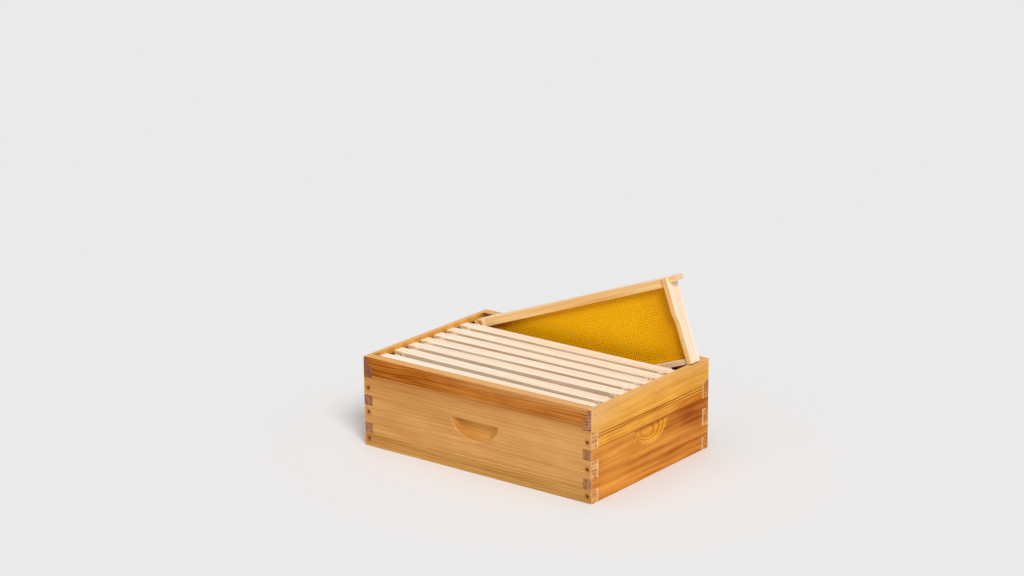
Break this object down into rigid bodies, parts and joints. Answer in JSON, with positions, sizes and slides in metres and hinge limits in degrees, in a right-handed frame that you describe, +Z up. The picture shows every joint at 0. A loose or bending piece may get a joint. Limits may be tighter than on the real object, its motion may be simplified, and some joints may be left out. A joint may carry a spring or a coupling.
{
  "type": "beehive super",
  "caption": "Shallow finger-jointed wooden box for the top of a beehive, with hanging frames of yellow foundation that lift out, the last of them tipped up on the rim.",
  "frame": {"origin": "middle of the box's lower edge, on the surface that the box stands on", "axes": "+X along the frames towards the end where the tipped frame stands high, +Y across the frames towards the tipped frame, +Z up"},
  "size_m": [0.5048, 0.3556, 0.327],
  "materials": {
    "waxed_pine": "waxed golden softwood with red-brown streaks, satin",
    "frame_pine": "bare planed pale softwood, dry and matt",
    "foundation": "amber yellow moulded plastic with a thin coat of wax, hexagonal cell bases",
    "nail_steel": "plain wire nails, dull"
  },
  "bodies": {
    "box": {"end_board_left": "waxed_pine", "end_board_right": "waxed_pine", "side_board_near": "waxed_pine", "side_board_far": "waxed_pine", "box_nails": "nail_steel", "rim_brads": "nail_steel"},
    "frame_1": {"frame_1_top_bar": "frame_pine", "frame_1_end_bar_left": "frame_pine", "frame_1_end_bar_right": "frame_pine", "frame_1_bottom_bar": "frame_pine", "frame_1_foundation": "foundation", "frame_1_nails": "nail_steel"},
    "frame_2": {"frame_2_top_bar": "frame_pine", "frame_2_end_bar_left": "frame_pine", "frame_2_end_bar_right": "frame_pine", "frame_2_bottom_bar": "frame_pine", "frame_2_foundation": "foundation", "frame_2_nails": "nail_steel"},
    "frame_3": {"frame_3_top_bar": "frame_pine", "frame_3_end_bar_left": "frame_pine", "frame_3_end_bar_right": "frame_pine", "frame_3_bottom_bar": "frame_pine", "frame_3_foundation": "foundation", "frame_3_nails": "nail_steel"},
    "frame_4": {"frame_4_top_bar": "frame_pine", "frame_4_end_bar_left": "frame_pine", "frame_4_end_bar_right": "frame_pine", "frame_4_bottom_bar": "frame_pine", "frame_4_foundation": "foundation", "frame_4_nails": "nail_steel"},
    "frame_5": {"frame_5_top_bar": "frame_pine", "frame_5_end_bar_left": "frame_pine", "frame_5_end_bar_right": "frame_pine", "frame_5_bottom_bar": "frame_pine", "frame_5_foundation": "foundation", "frame_5_nails": "nail_steel"},
    "frame_6": {"frame_6_top_bar": "frame_pine", "frame_6_end_bar_left": "frame_pine", "frame_6_end_bar_right": "frame_pine", "frame_6_bottom_bar": "frame_pine", "frame_6_foundation": "foundation", "frame_6_nails": "nail_steel"},
    "frame_7": {"frame_7_top_bar": "frame_pine", "frame_7_end_bar_left": "frame_pine", "frame_7_end_bar_right": "frame_pine", "frame_7_bottom_bar": "frame_pine", "frame_7_foundation": "foundation", "frame_7_nails": "nail_steel"},
    "frame_8": {"frame_8_top_bar": "frame_pine", "frame_8_end_bar_left": "frame_pine", "frame_8_end_bar_right": "frame_pine", "frame_8_bottom_bar": "frame_pine", "frame_8_foundation": "foundation", "frame_8_nails": "nail_steel"}
  },
  "joints": [
    {"name": "frame_1_lift", "type": "slide", "parent": "box", "child": "frame_1", "axis": [0, 0, 1], "range_m": [0, 0.18]},
    {"name": "frame_2_lift", "type": "slide", "parent": "box", "child": "frame_2", "axis": [0, 0, 1], "range_m": [0, 0.18]},
    {"name": "frame_3_lift", "type": "slide", "parent": "box", "child": "frame_3", "axis": [0, 0, 1], "range_m": [0, 0.18]},
    {"name": "frame_4_lift", "type": "slide", "parent": "box", "child": "frame_4", "axis": [0, 0, 1], "range_m": [0, 0.18]},
    {"name": "frame_5_lift", "type": "slide", "parent": "box", "child": "frame_5", "axis": [0, 0, 1], "range_m": [0, 0.18]},
    {"name": "frame_6_lift", "type": "slide", "parent": "box", "child": "frame_6", "axis": [0, 0, 1], "range_m": [0, 0.18]},
    {"name": "frame_7_lift", "type": "slide", "parent": "box", "child": "frame_7", "axis": [0, 0, 1], "range_m": [0, 0.18]},
    {"name": "frame_8_tip", "type": "hinge", "parent": "box", "child": "frame_8", "pos_m": [-0.2359, 0.136, 0.1526], "axis": [0, -1, 0], "range_deg": [0, 25]}
  ]
}
